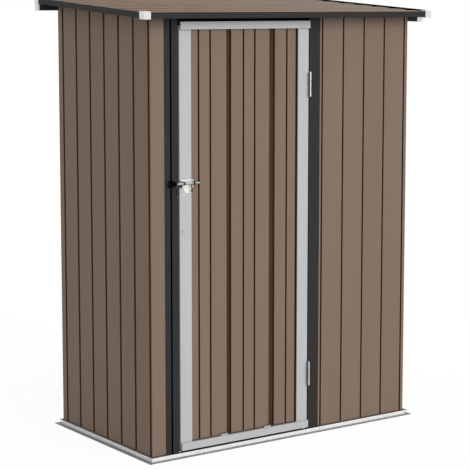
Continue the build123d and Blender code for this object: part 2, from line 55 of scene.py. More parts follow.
def trim_foot(y):
    """Height of the underside of the roof trims at a place along the depth."""
    return TRIM_FOOT.z + ROOF_RISE * (y - TRIM_FOOT.y)


# Colours


def srgb(red, green, blue):
    """Linear colour from 8-bit sRGB values."""

    def linear(value):
        v = value / 255
        return v / 12.92 if v <= 0.04045 else ((v + 0.055) / 1.055) ** 2.4

    return (linear(red), linear(green), linear(blue), 1.0)


TAUPE = srgb(133, 115, 101)
ROOF_BROWN = srgb(126, 104, 86)
ROOF_LIT_PALE = srgb(141, 123, 108)
VALLEY_SHADE_BROWN = srgb(104, 81, 63)
VALLEY_SHADE_PALE = srgb(120, 100, 84)
FLUTE_SHADE_BROWN = srgb(82, 53, 34)
FOLD_SHADE_BROWN = srgb(77, 55, 40)
PALE_GREY = srgb(193, 193, 194)
ANTHRACITE = srgb(52, 51, 51)
BLACK = srgb(5, 5, 6)
WHITE_PLASTIC = srgb(222, 222, 222)
PAINTED_LIGHT_WHITE = srgb(252, 252, 252)
CREAM = srgb(244, 242, 230)
ZINC = srgb(176, 178, 180)
RAIL_ZINC = srgb(246, 246, 246)
DARK_ZINC_AND_SHADE = srgb(138, 140, 141)
SHADED_ZINC = srgb(40, 40, 40)
SHADOW_BROWN = srgb(58, 40, 30)
RING_SHADE_GREY = srgb(150, 150, 151)
BRIGHT_STEEL_AND_HIGHLIGHT = srgb(214, 216, 218)
DARK_STEEL = srgb(44, 44, 42)
BOLT_STEEL = srgb(160, 157, 152)
HINGE_STEEL = srgb(92, 92, 91)

# Materials

# Colour sockets of the Mix node
FACTOR, FIRST, SECOND, RESULT = 0, 6, 7, 2


class Nodes:
    """Short calls for building one material's node tree."""

    def __init__(self, name):
        self.material = bpy.data.materials.new(name)
        self.material.use_nodes = True
        self.tree = self.material.node_tree
        self.shader = self.tree.nodes["Principled BSDF"]
        self.position = self.add("ShaderNodeTexCoord").outputs["Object"]

    def add(self, kind, **settings):
        node = self.tree.nodes.new(kind)
        for key, value in settings.items():
            setattr(node, key, value)
        return node

    def link(self, output, node_input):
        self.tree.links.new(output, node_input)

    def stretched(self, scale):
        """The object position times a scale per axis, so that a texture stretches."""
        mapping = self.add("ShaderNodeMapping")
        mapping.inputs["Scale"].default_value = scale
        self.link(self.position, mapping.inputs["Vector"])
        return mapping.outputs["Vector"]

    def noise(self, scale, detail=3.0, stretch=(1, 1, 1)):
        node = self.add("ShaderNodeTexNoise")
        node.inputs["Scale"].default_value = scale
        node.inputs["Detail"].default_value = detail
        self.link(self.stretched(stretch), node.inputs["Vector"])
        return node.outputs["Fac"]

    def ramp(self, value, low, high):
        """A value from 0 to 1 turned into a number between low and high."""
        node = self.add("ShaderNodeMapRange")
        node.inputs["From Min"].default_value = 0.3
        node.inputs["From Max"].default_value = 0.7
        node.inputs["To Min"].default_value = low
        node.inputs["To Max"].default_value = high
        self.link(value, node.inputs["Value"])
        return node.outputs["Result"]

    def tint(self, colour, value, amount):
        """The colour made darker and lighter by up to that amount, following a value."""
        node = self.add("ShaderNodeMix", data_type="RGBA")
        node.inputs[FIRST].default_value = [c * (1 - amount) for c in colour[:3]] + [1]
        node.inputs[SECOND].default_value = [min(1, c * (1 + amount)) for c in colour[:3]] + [1]
        self.link(self.ramp(value, 0, 1), node.inputs[FACTOR])
        return node.outputs[RESULT]

    def bump(self, value, distance, strength=0.5):
        node = self.add("ShaderNodeBump")
        node.inputs["Strength"].default_value = strength
        node.inputs["Distance"].default_value = distance
        self.link(value, node.inputs["Height"])
        self.link(node.outputs["Normal"], self.shader.inputs["Normal"])


LOW_GLOSS = 0.06
PEEL_SCALE = 900.0
PEEL_DEPTH = 0.0001
UPRIGHT_STREAKS = (6, 6, 0.3)
CROSSWISE_STREAKS = (0.3, 6, 6)


def painted(name, colour, roughness=0.45, variation=0.03, gloss=LOW_GLOSS):
    """Stoved paint: broad faint streaks from head to foot, fine orange peel."""
    m = Nodes(name)
    m.shader.inputs["Specular IOR Level"].default_value = gloss
    streaks = m.noise(3.0, 4.0, UPRIGHT_STREAKS)
    m.link(m.tint(colour, streaks, variation), m.shader.inputs["Base Color"])
    patches = m.ramp(m.noise(40.0), roughness - 0.05, roughness + 0.05)
    m.link(patches, m.shader.inputs["Roughness"])
    m.bump(m.noise(PEEL_SCALE, 2.0), PEEL_DEPTH)
    return m.material


def painted_light_along_x(name, colour, pale, start, end, roughness=0.5, variation=0.04):
    """Stoved paint with painted light: paler along X, from one place to another."""
    m = Nodes(name)
    m.shader.inputs["Specular IOR Level"].default_value = LOW_GLOSS
    m.shader.inputs["Roughness"].default_value = roughness
    split = m.add("ShaderNodeSeparateXYZ")
    m.link(m.position, split.inputs["Vector"])
    place = m.add("ShaderNodeMapRange")
    place.inputs["From Min"].default_value = start
    place.inputs["From Max"].default_value = end
    m.link(split.outputs["X"], place.inputs["Value"])
    streaks = m.noise(3.0, 4.0, CROSSWISE_STREAKS)
    mix = m.add("ShaderNodeMix", data_type="RGBA")
    m.link(place.outputs["Result"], mix.inputs[FACTOR])
    m.link(m.tint(colour, streaks, variation), mix.inputs[FIRST])
    m.link(m.tint(pale, streaks, variation), mix.inputs[SECOND])
    m.link(mix.outputs[RESULT], m.shader.inputs["Base Color"])
    m.bump(m.noise(PEEL_SCALE, 2.0), PEEL_DEPTH)
    return m.material


def zinc(name, colour, roughness=0.4, metallic=0.9, spangle=140.0):
    """Zinc-coated steel with its crystal spangle."""
    m = Nodes(name)
    cells = m.add("ShaderNodeTexVoronoi")
    cells.inputs["Scale"].default_value = spangle
    m.link(m.position, cells.inputs["Vector"])
    grey = m.add("ShaderNodeRGBToBW")
    m.link(cells.outputs["Color"], grey.inputs["Color"])
    m.link(m.tint(colour, grey.outputs["Val"], 0.06), m.shader.inputs["Base Color"])
    polish = m.ramp(grey.outputs["Val"], roughness - 0.08, roughness + 0.08)
    m.link(polish, m.shader.inputs["Roughness"])
    m.shader.inputs["Metallic"].default_value = metallic
    m.bump(m.noise(300.0, 2.0), 0.00005)
    return m.material


def moulded(name, colour):
    """Moulded plastic with a fine grain."""
    m = Nodes(name)
    m.link(m.tint(colour, m.noise(60.0), 0.03), m.shader.inputs["Base Color"])
    m.shader.inputs["Roughness"].default_value = 0.4
    m.bump(m.noise(1500.0, 2.0), 0.0001)
    return m.material


TAUPE_PAINT = painted("taupe_paint", TAUPE)
# Painted light: the roof grows paler from the left wall to the right wall
ROOF_PAINT = painted_light_along_x("roof_paint", ROOF_BROWN, ROOF_LIT_PALE, LEFT_X, RIGHT_X)
# Painted shade in the roof's valleys, with the same painted light along X
VALLEY_SHADE_PAINT = painted_light_along_x("roof_painted_shade_in_valleys", VALLEY_SHADE_BROWN, VALLEY_SHADE_PALE, LEFT_X, RIGHT_X)
# Painted shade in the flutes of the sheets and in the door's folds
FLUTE_SHADE_PAINT = painted("taupe_painted_shade_in_flutes", FLUTE_SHADE_BROWN, 0.6)
FOLD_SHADE_PAINT = painted("taupe_painted_shade_in_folds", FOLD_SHADE_BROWN, 0.6)
PALE_PAINT = painted("pale_grey_paint", PALE_GREY, 0.4, 0.02, gloss=0.2)
CREAM_PAINT = painted("cream_paint", CREAM, 0.35, 0.03, gloss=0.3)
DARK_PAINT = painted("anthracite_paint", ANTHRACITE, 0.4)
# Black paint, also used as painted shade in the left post's fold and over the door
BLACK_PAINT_AND_SHADE = painted("black_paint", BLACK, 0.5, gloss=0.02)
ZINC_SHEET = zinc("zinc_sheet", ZINC)
ZINC_RAIL = zinc("zinc_rail", RAIL_ZINC, 0.45, 0.15)
# Painted shade in the front rail's slot and on the rail flanges; the same dark zinc on the ledges
ZINC_SHADED = zinc("zinc_painted_shade_in_slot", SHADED_ZINC, 0.6, 0.3)
ZINC_DARK_AND_SHADE = zinc("dark_zinc_and_painted_shade", DARK_ZINC_AND_SHADE, 0.5, 0.3)
# Bright steel of screws, rivets and the grip, also the painted highlight on the hinge barrels
STEEL_BRIGHT_AND_HIGHLIGHT = zinc("bright_steel_and_painted_highlight", BRIGHT_STEEL_AND_HIGHLIGHT, 0.25, 1.0, 400.0)
STEEL_DARK = zinc("dark_steel", DARK_STEEL, 0.35, 0.8, 400.0)
STEEL_BOLT = zinc("bolt_steel", BOLT_STEEL, 0.3, 0.9, 400.0)
STEEL_HINGE = zinc("hinge_steel", HINGE_STEEL, 0.35, 0.9, 400.0)
PLASTIC = moulded("white_plastic", WHITE_PLASTIC)
# Painted light for the shaded left faces of the caps
PLASTIC_PAINTED_LIGHT = moulded("plastic_with_painted_light", PAINTED_LIGHT_WHITE)
BLACK_PLASTIC = moulded("black_plastic", BLACK)
# Brown painted shadow for the strips along the gaps
SHADOW_PAINT_BROWN = moulded("brown_painted_shadow", SHADOW_BROWN)
# Painted shade for the ring round the stile plug
RING_SHADE_PAINT = painted("ring_painted_shade", RING_SHADE_GREY, 0.5)

finishes = {
    TAUPE_PAINT: ("left_wall", "right_wall", "rear_wall", "front_panel", "door_panel"),
    ROOF_PAINT: ("roof_sheet",),
    PALE_PAINT: ("door_stile", "door_rail"),
    DARK_PAINT: ("roof_trim", "door_post", "top_rail_front", "top_rail_rear"),
    BLACK_PAINT_AND_SHADE: ("latch_keeper", "door_threshold"),
    ZINC_RAIL: ("base_rail",),
    STEEL_HINGE: ("hinge",),
    STEEL_BOLT: ("latch_bolt",),
    CREAM_PAINT: ("latch_plate",),
    PLASTIC: ("roof_cap", "rail_cap"),
    ZINC_SHEET: ("corner_post", "wall_brace", "door_brace", "rafter", "top_rail_left", "top_rail_right"),
}
for material, starts in finishes.items():
    for name, obj in nodes.items():
        if name.startswith(starts):
            obj.data.materials.clear()
            obj.data.materials.append(material)


def refinish_faces(name, material, chosen):
    """Gives another finish to the faces of a node with these numbers."""
    obj = nodes[name]
    obj.data.materials.append(material)
    for index in chosen:
        obj.data.polygons[index].material_index = len(obj.data.materials) - 1


def refinish(name, material, test):
    """Gives another finish to the faces of a node whose middle and normal pass a test."""
    polygons = nodes[name].data.polygons
    refinish_faces(name, material, [p.index for p in polygons if test(p.center, p.normal)])


# A face looks square along an axis above this cosine, and is upright below the other
SQUARE_ON = 0.9
UPRIGHT = 0.5
FLUTE_START = 0.0005


def darken_flutes(name, outward, material, low=-math.inf, high=math.inf):
    """Paints shade into a sheet's flutes, between two places along it.

    A flute's floor looks outwards from behind the sheet's outer face, and its sides run from
    that face to the floor.
    """
    outward = Vector(outward)
    along = Vector((0, 0, 1)).cross(outward)
    polygons = nodes[name].data.polygons
    points = [v.co for v in nodes[name].data.vertices]
    face = max(outward.dot(p) for p in points)

    def places(polygon):
        return [round(along.dot(points[i]), 5) for i in polygon.vertices]

    def is_floor(polygon):
        depth = face - outward.dot(polygon.center)
        return polygon.normal.dot(outward) > SQUARE_ON and depth > FLUTE_START

    def is_side(polygon):
        depths = [face - outward.dot(points[i]) for i in polygon.vertices]
        return min(depths) < FLUTE_START < max(depths)

    floor_ends = {place for p in polygons if is_floor(p) for place in places(p)}
    chosen = []
    for p in polygons:
        within = low < min(places(p)) and max(places(p)) < high
        if within and abs(p.normal.z) < UPRIGHT:
            if is_floor(p) or (is_side(p) and floor_ends.intersection(places(p))):
                chosen.append(p.index)
    refinish_faces(name, material, chosen)


# Painted shade in the flutes of the sheets, the door's wide folds and its fold at the right stile
darken_flutes("front_panel_right", (0, -1, 0), FLUTE_SHADE_PAINT)
darken_flutes("left_wall", (-1, 0, 0), FLUTE_SHADE_PAINT)
darken_flutes("right_wall", (1, 0, 0), FLUTE_SHADE_PAINT)
darken_flutes("rear_wall", (0, 1, 0), FLUTE_SHADE_PAINT)
darken_flutes("door_panel", (0, -1, 0), FLUTE_SHADE_PAINT)
door_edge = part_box("door_stile_right")[0].x
FIRST_FOLD_X = LEFT_X + 0.3716
SECOND_FOLD_X = LEFT_X + 0.5871
FOLD_REACH = 0.018
for fold_x in (FIRST_FOLD_X, SECOND_FOLD_X, door_edge):
    darken_flutes("door_panel", (0, -1, 0), FOLD_SHADE_PAINT, fold_x - FOLD_REACH, fold_x + FOLD_REACH)

# Painted shade: black down the fold of the left post
POST_FOLD_X = LEFT_X + 0.0937
POST_FOLD_REACH = 0.006
fold = (POST_FOLD_X - POST_FOLD_REACH, POST_FOLD_X + POST_FOLD_REACH)
darken_flutes("door_post_left", (0, -1, 0), BLACK_PAINT_AND_SHADE, *fold)

# Valleys of the roof: painted shade, darker than the crests


def on_roof(middle, normal, level):
    """Whether a face looks up and lies at a level above the underside of the trims."""
    return normal.z > SQUARE_ON and abs(middle.z - trim_foot(middle.y) - level) < LEVEL_MARGIN


refinish("roof_sheet", VALLEY_SHADE_PAINT, lambda middle, normal: on_roof(middle, normal, VALLEY_LEVEL))

# Painted light: the caps are paler on their left faces
for name in nodes:
    if name.startswith(("roof_cap", "rail_cap")):
        refinish(name, PLASTIC_PAINTED_LIGHT, lambda middle, normal: normal.x < -SQUARE_ON)


def on_trim_head(middle, normal):
    """Whether a face of a trim looks up, to the left or to the front."""
    return normal.z > SQUARE_ON or min(normal.x, normal.y) < -SQUARE_ON


# The right and rear trims are black along their heads
for side in ("right", "rear"):
    refinish("roof_trim_" + side, BLACK_PAINT_AND_SHADE, on_trim_head)

# Base rails: painted shade on the flanges on the ground, ledges along the rear and right rails, painted
# shade in the slot of the front one
FLANGE_TOP = 0.002
for side in ("front", "rear", "left", "right"):
    refinish("base_rail_" + side, ZINC_DARK_AND_SHADE, lambda middle, normal: middle.z < FLANGE_TOP)
LEDGE_FOOT = 0.014
LEDGE_START = 0.008


def on_ledge(middle, normal):
    """Whether a face belongs to the ledge along the head of the rear or the right rail."""
    outside = middle.x > RIGHT_X + LEDGE_START or middle.y > REAR_Y + LEDGE_START
    return outside and middle.z > LEDGE_FOOT


refinish("base_rail_right", ZINC_DARK_AND_SHADE, on_ledge)
refinish("base_rail_rear", ZINC_DARK_AND_SHADE, on_ledge)
SLOT_Y = FRONT_Y - 0.0045
refinish("base_rail_front", ZINC_SHADED, lambda middle, normal: middle.y > SLOT_Y)

# The latch: dark guides and a bright grip on the cream plate, a black knob on the bolt
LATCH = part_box("latch_plate")
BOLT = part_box("latch_bolt")
BOLT_LEVEL = 1.107
GUIDE_REACH = 0.0066
PLATE_LEFT = LEFT_X + 0.145
PLATE_RIGHT = PLATE_LEFT + 0.052
PLATE_SHEET = 0.002
PLATE_FACE_Y = LATCH[1].y - PLATE_SHEET
GRIP_FOOT = BOLT_LEVEL + 0.009
KNOB_HEAD = BOLT[0].z + 0.0082
BOLT_FOOT = BOLT_LEVEL - 0.0042


def on_guide(middle, normal):
    """Whether a face of the latch plate belongs to one of its two guides."""
    return middle.y < PLATE_FACE_Y - LEVEL_MARGIN and abs(middle.z - BOLT_LEVEL) < GUIDE_REACH


refinish("latch_plate", STEEL_DARK, on_guide)
refinish("latch_plate", STEEL_BRIGHT_AND_HIGHLIGHT, lambda middle, normal: middle.z > GRIP_FOOT)
refinish("latch_bolt", STEEL_DARK, lambda middle, normal: middle.z < BOLT_FOOT)
refinish("latch_bolt", BLACK_PLASTIC, lambda middle, normal: middle.z < KNOB_HEAD)

# Painted highlight: a bright strip down the front of the hinge barrels, between two slants of their
# faces
STRIP_LEFT, STRIP_RIGHT, STRIP_FRONT = -0.45, 0.28, -0.8


def on_barrel_highlight(middle, normal):
    """Whether a face lies in the painted highlight along the front of a hinge barrel."""
    return STRIP_LEFT < normal.x < STRIP_RIGHT and normal.y < STRIP_FRONT


for leaf in ("post_leaf_lower", "post_leaf_upper", "door_leaf_lower", "door_leaf_upper"):
    refinish("hinge_" + leaf, STEEL_BRIGHT_AND_HIGHLIGHT, on_barrel_highlight)

# Small pieces, all built as meshes
SHARP_EDGE = math.radians(35)
ROUND = 24
HEXAGON = 6


def placed(place, axis):
    """A function that moves a spot to a place and turns its Z along an axis."""
    axes = Vector(axis).to_track_quat("Z", "Y").to_matrix()
    return lambda x, y, z: Vector(place) + axes @ Vector((x, y, z))


def joined(bm, near, far):
    """Adds the faces between two rings of as many vertices."""
    for i in range(len(near)):
        j = (i + 1) % len(near)
        bm.faces.new((near[i], near[j], far[j], far[i]))


def open_turned(bm, profile, place, axis, segments=ROUND):
    """Adds rings of (radius, height) along an axis from a place, closed at the foot only."""
    spot = placed(place, axis)
    angles = [2 * math.pi * i / segments for i in range(segments)]
    rings = []
    for radius, height in profile:
        ring = [spot(radius * math.cos(a), radius * math.sin(a), height) for a in angles]
        rings.append([bm.verts.new(co) for co in ring])
    for near, far in zip(rings, rings[1:]):
        joined(bm, near, far)
    bm.faces.new(rings[0][::-1])
    return rings[-1]


def turned(bm, profile, place, axis, segments=ROUND):
    """Adds a turned solid: rings of (radius, height) along an axis from a place."""
    bm.faces.new(open_turned(bm, profile, place, axis, segments))


def piece(name, bm, material, body):
    """Turns a bmesh into a piece with smooth faces and sharp edges that rides on a body."""
    bmesh.ops.recalc_face_normals(bm, faces=bm.faces)
    for face in bm.faces:
        face.smooth = True
    for edge in bm.edges:
        edge.smooth = edge.calc_face_angle(math.pi) < SHARP_EDGE
    mesh = bpy.data.meshes.new(name)
    bm.to_mesh(mesh)
    bm.free()
    mesh.materials.append(material)
    obj = bpy.data.objects.new(name, mesh)
    bpy.context.scene.collection.objects.link(obj)
    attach(obj, body)
    return obj


# Profiles in (radius, height)
WASHER = ((0.0050, 0.0), (0.0052, 0.0003), (0.0050, 0.0007), (0.0040, 0.0010))
HEX_HEAD = ((0.0034, 0.0008), (0.0034, 0.0030), (0.0030, 0.0035))
RIVET = ((0.0032, 0.0), (0.0031, 0.0004), (0.0025, 0.0009), (0.0014, 0.0012))


def hex_screws(name, places, axis, material, body):
    """Row of sheet screws: a hexagonal head on its washer."""
    bm = bmesh.new()
    for place in places:
        turned(bm, WASHER, place, axis)
        turned(bm, HEX_HEAD, place, axis, HEXAGON)
    piece(name, bm, material, body)


def rivets(name, places, axis, material, body):
    """Row of domed rivet heads."""
    bm = bmesh.new()
    for place in places:
        turned(bm, RIVET, place, axis)
    piece(name, bm, material, body)


# Roof rivets: through the crests of the ribs, over both rafters
roof_faces = nodes["roof_sheet"].data.polygons
crests = {round(p.center.y, 4) for p in roof_faces if on_roof(p.center, p.normal, CREST_LEVEL)}
for side in ("left", "right"):
    low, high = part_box("rafter_" + side)
    middle_x = (low.x + high.x) / 2
    spots = [(middle_x, y, trim_foot(y) + CREST_LEVEL) for y in sorted(crests)]
    rivets("roof_rivets_" + side, spots, (0, -ROOF_RISE, 1), ROOF_PAINT, "shed")

# Wall rivets along the heads of the side walls, in the middle of the flats, and screws through
# the rear wall along its brace and through the rear top rail
FLUTE_PITCH = 0.112
SIDE_FIRST_FLUTE = 0.0126
REAR_FIRST_FLUTE = 0.020
SIDE_FLATS = 6
REAR_FLATS = 11
HEAD_DROP = 0.013
first_y = FRONT_Y + SIDE_FIRST_FLUTE + FLUTE_PITCH / 2
first_x = RIGHT_X - REAR_FIRST_FLUTE - FLUTE_PITCH / 2
side_flats = [first_y + i * FLUTE_PITCH for i in range(SIDE_FLATS)]
rear_flats = [first_x - i * FLUTE_PITCH for i in range(REAR_FLATS)]
for side, wall_x, outward in (("left", LEFT_X, -1), ("right", RIGHT_X, 1)):
    spots = [(wall_x, y, trim_foot(y) - HEAD_DROP) for y in side_flats]
    rivets("wall_rivets_" + side, spots, (outward, 0, 0), TAUPE_PAINT, "shed")
low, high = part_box("wall_brace_rear")
brace_level = (low.z + high.z) / 2
spots = [(x, REAR_Y, brace_level) for x in rear_flats]
hex_screws("wall_screws_rear", spots, (0, 1, 0), TAUPE_PAINT, "shed")
low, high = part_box("top_rail_rear")
spots = [(x, high.y, (low.z + high.z) / 2) for x in rear_flats[::2]]
hex_screws("rail_screws_rear", spots, (0, 1, 0), BLACK_PAINT_AND_SHADE, "shed")

# Door rivets: two at each end of both rails, and a row along the brace inside
RIVET_INSET = 0.014
RIVET_SPACING = 0.026
RIVET_EDGE = 0.013
RIVETS_PER_END = 2
BRACE_RIVETS = 6
spots = []
for rail in ("door_rail_top", "door_rail_bottom"):
    low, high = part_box(rail)
    rivet_z = high.z - RIVET_EDGE if rail == "door_rail_top" else low.z + RIVET_EDGE
    for edge_x, inward in ((low.x, 1), (high.x, -1)):
        for i in range(RIVETS_PER_END):
            spots.append((edge_x + inward * (RIVET_INSET + i * RIVET_SPACING), low.y, rivet_z))
rivets("door_rivets", spots, (0, -1, 0), PALE_PAINT, "door")
low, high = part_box("door_brace")
step = (high.x - low.x - 2 * RIVET_INSET) / (BRACE_RIVETS - 1)
brace_z = (low.z + high.z) / 2
spots = [(low.x + RIVET_INSET + i * step, high.y, brace_z) for i in range(BRACE_RIVETS)]
rivets("door_brace_rivets", spots, (0, 1, 0), STEEL_BRIGHT_AND_HIGHLIGHT, "door")

# Domed heads of the hinge pins
PIN_HEAD = ((0.0050, 0.0), (0.0050, 0.0006), (0.0040, 0.0014), (0.0020, 0.0019))
for level in ("lower", "upper"):
    low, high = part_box("hinge_post_leaf_" + level)
    pin_x = (low.x + high.x) / 2
    pin_y = low.y + (high.x - low.x) / 2
    bm = bmesh.new()
    turned(bm, PIN_HEAD, (pin_x, pin_y, high.z), (0, 0, 1))
    turned(bm, PIN_HEAD, (pin_x, pin_y, low.z), (0, 0, -1))
    piece("hinge_pin_heads_" + level, bm, STEEL_BRIGHT_AND_HIGHLIGHT, "shed")

# Cover plug in the left stile, with painted shade in a grey ring round its face
PLUG_RIM = ((0.0085, 0.0), (0.0085, 0.0003), (0.0081, 0.0006), (0.0068, 0.0006))
PLUG_FACE = ((0.0064, 0.0002), (0.0060, 0.0005))
PLUG_SEGMENTS = 32
RING_FACE_REACH = 0.002
stile_low, stile_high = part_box("door_stile_left")
bm = bmesh.new()
plug_place = (LEFT_X + 0.147, stile_low.y, 0.912)
turned(bm, PLUG_RIM + PLUG_FACE, plug_place, (0, -1, 0), PLUG_SEGMENTS)
plug = piece("stile_plug", bm, PALE_PAINT, "door")
plug.data.materials.append(RING_SHADE_PAINT)
for polygon in plug.data.polygons:
    spread = max((plug.data.vertices[i].co - polygon.center).length for i in polygon.vertices)
    if spread < RING_FACE_REACH:
        polygon.material_index = 1

# Cross-recess screws of the latch plate
PAN_HEAD = ((0.0040, 0.0), (0.0040, 0.0008), (0.0036, 0.0015), (0.0028, 0.0019))
RECESS_ARM = 0.0020
RECESS_HALF = 0.0004
RECESS_FLOOR = 0.0008
RECESS_TAPER = 0.7
SCREW_REACH = 0.012
SCREW_DROP = 0.014


def cross_screw(bm, place, axis):
    """Adds a pan head with a tapering cross recess."""
    rim = open_turned(bm, PAN_HEAD, place, axis)
    spot = placed(place, axis)
    arm, half = RECESS_ARM, RECESS_HALF
    quarter = ((arm, -half), (arm, half), (half, half))
    outline = []
    for c, d in ((1, 0), (0, 1), (-1, 0), (0, -1)):
        outline += [(x * c - y * d, x * d + y * c) for x, y in quarter]
    top = [bm.verts.new(spot(x, y, PAN_HEAD[-1][1])) for x, y in outline]
    narrowed = [(x * RECESS_TAPER, y * RECESS_TAPER) for x, y in outline]
    foot = [bm.verts.new(spot(x, y, RECESS_FLOOR)) for x, y in narrowed]
    joined(bm, top, foot)
    bm.faces.new(foot)
    pairs = [pair for ring in (rim, top) for pair in zip(ring, ring[1:] + ring[:1])]
    bmesh.ops.triangle_fill(bm, use_beauty=True, edges=[bm.edges.get(pair) for pair in pairs])


bm = bmesh.new()
for side in (-1, 1):
    screw_x = (PLATE_LEFT + PLATE_RIGHT) / 2 + side * SCREW_REACH
    cross_screw(bm, (screw_x, PLATE_FACE_Y, BOLT_LEVEL - SCREW_DROP), (0, -1, 0))
piece("latch_screws", bm, STEEL_BRIGHT_AND_HIGHLIGHT, "door")

# Black plastic beside the bolt, which also stands in as painted shadow under it
BRACKET_DEPTH = 0.005
BRACKET_ROUNDING = 0.0012


def bracket(name, outline, back, material, body):
    """Flat piece on a face that looks along -Y, with its front edges rounded.

    The outline is in (x, z), with x measured from the left wall.
    """
    bm = bmesh.new()
    rear = [bm.verts.new((LEFT_X + x, back, z)) for x, z in outline]
    front = [bm.verts.new((LEFT_X + x, back - BRACKET_DEPTH, z)) for x, z in outline]
    joined(bm, rear, front)
    bm.faces.new(rear)
    edges = list(bm.faces.new(front).edges)
    bmesh.ops.recalc_face_normals(bm, faces=bm.faces)
    bmesh.ops.bevel(
        bm, geom=edges, offset=BRACKET_ROUNDING, segments=3, affect="EDGES", profile=0.5
    )
    piece(name, bm, material, body)


# Strike under the bolt on the left post, with a leg along the post's edge, its black partly painted
# shadow
STRIKE_LEFT, STRIKE_RIGHT = 0.104, 0.1265
STRIKE_HEAD, STRIKE_FOOT = 1.1005, 1.090
LEG_LEFT, LEG_FOOT = 0.118, 1.064
strike = (
    (STRIKE_LEFT, STRIKE_HEAD),
    (STRIKE_LEFT, STRIKE_FOOT),
    (LEG_LEFT, STRIKE_FOOT),
    (LEG_LEFT, LEG_FOOT),
    (STRIKE_RIGHT, LEG_FOOT),
    (STRIKE_RIGHT, STRIKE_HEAD),
)
bracket("latch_strike_and_painted_shadow", strike, FRONT_Y, BLACK_PLASTIC, "shed")

# Shield beside the strike on the left stile, its black partly painted shadow
SHIELD_LEFT, SHIELD_RIGHT = 0.1345, 0.1445
SHIELD_HEAD, SHIELD_FOOT = 1.1000, 1.0905
shield = (
    (SHIELD_LEFT, SHIELD_HEAD),
    (SHIELD_LEFT, SHIELD_FOOT),
    (SHIELD_RIGHT, SHIELD_FOOT),
    (SHIELD_RIGHT, SHIELD_HEAD),
)
bracket("latch_shield_and_painted_shadow", shield, stile_low.y, BLACK_PLASTIC, "door")

# Painted shadow: dark strips where the gaps between parts lie in shade
SHADOW_STRIP_ROUNDING = 0.0005


def round_edges(bm, edges, offset):
    """Rounds edges of a mesh in two steps."""
    bmesh.ops.bevel(bm, geom=edges, offset=offset, segments=2, affect="EDGES", profile=0.5)


def shadow_strips(name, boxes, material, body):
    """Strips of painted shadow between two corners each, with rounded edges."""
    bm = bmesh.new()
    for low, high in boxes:
        low, high = Vector(low), Vector(high)
        corners = bmesh.ops.create_cube(bm, size=1.0)["verts"]
        for corner in corners:
            corner.co = (low + high) / 2 + corner.co * (high - low)
        edges = dict.fromkeys(edge for corner in corners for edge in corner.link_edges)
        round_edges(bm, list(edges), SHADOW_STRIP_ROUNDING)
    piece(name, bm, material, body)


# Painted shadow in the slot between the base rails and the walls
SHADOW_STRIP_FOOT = 0.010
SHADOW_STRIP_HEAD = 0.0212
SHADOW_STRIP_DEPTH = 0.003
POST_LEFT_START = LEFT_X + 0.066
POST_LEFT_END = LEFT_X + 0.127
POST_RIGHT_START = LEFT_X + 0.7785
POST_RIGHT_END = LEFT_X + 0.834
foot_shadow_strips = {
    "left": ((LEFT_X - SHADOW_STRIP_DEPTH, FRONT_Y), (LEFT_X, REAR_Y)),
    "right": ((RIGHT_X, FRONT_Y), (RIGHT_X + SHADOW_STRIP_DEPTH, REAR_Y)),
    "rear": ((LEFT_X - SHADOW_STRIP_DEPTH, REAR_Y), (RIGHT_X + SHADOW_STRIP_DEPTH, REAR_Y + SHADOW_STRIP_DEPTH)),
    "front_left": ((LEFT_X - SHADOW_STRIP_DEPTH, FRONT_Y - SHADOW_STRIP_DEPTH), (POST_LEFT_START, FRONT_Y)),
    "front_right": ((POST_RIGHT_END, FRONT_Y - SHADOW_STRIP_DEPTH), (RIGHT_X + SHADOW_STRIP_DEPTH, FRONT_Y)),
}
for side, (low, high) in foot_shadow_strips.items():
    shadow_strips("foot_shadow_strip_" + side, [((*low, SHADOW_STRIP_FOOT), (*high, SHADOW_STRIP_HEAD))], SHADOW_PAINT_BROWN, "shed")

# Painted shadow on the front top rail, over the door
low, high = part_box("top_rail_front")
head_shadow_strip = ((POST_LEFT_END, low.y - SHADOW_STRIP_DEPTH, low.z), (POST_RIGHT_START, low.y, high.z))
shadow_strips("door_head_shadow_strip", [head_shadow_strip], BLACK_PAINT_AND_SHADE, "shed")

# Bead along the head of the right roof trim, parallel to the roof
BEAD_HEIGHT = 0.0045
BEAD_WIDTH = 0.006
BEAD_END = 0.401
BEAD_ROUNDING = 0.001
bm = bmesh.new()
corners = bmesh.ops.create_cube(bm, size=1.0)["verts"]
trim_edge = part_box("roof_trim_right")[1].x
for corner in corners:
    x = trim_edge - (BEAD_WIDTH if corner.co.x < 0 else 0)
    y = math.copysign(BEAD_END, corner.co.y)
    level = TRIM_HEAD + (BEAD_HEIGHT if corner.co.z > 0 else 0)
    corner.co = (x, y, trim_foot(y) + level)
round_edges(bm, list(bm.edges), BEAD_ROUNDING)
piece("verge_bead_right", bm, BLACK_PAINT_AND_SHADE, "shed")

# Painted shadow along the foot of the door sheet, raised over the bottom rail's clips
CLIP_HEIGHT = 0.006
CLIP_HEAD_MARGIN = 0.001
PANEL_RECESS = 0.001
DOOR_SHADOW_STRIP_HEIGHT = 0.005
DOOR_SHADOW_STRIP_DEPTH = 0.0018
CLIP_MARGIN = 0.002
rail_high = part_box("door_rail_bottom")[1]
rail_points = [v.co for v in nodes["door_rail_bottom"].data.vertices]
clip_edges = sorted({round(p.x, 4) for p in rail_points if p.z > rail_high.z - CLIP_HEAD_MARGIN})
rail_top = rail_high.z - CLIP_HEIGHT
shadow_strip_back = FRONT_Y + PANEL_RECESS
shadow_strip_face = shadow_strip_back - DOOR_SHADOW_STRIP_DEPTH


def door_shadow_strip(start, end, head):
    """Two corners of a strip of painted shadow on the door sheet, from the bottom rail up to a level."""
    return (start, shadow_strip_face, rail_top), (end, shadow_strip_back, head)


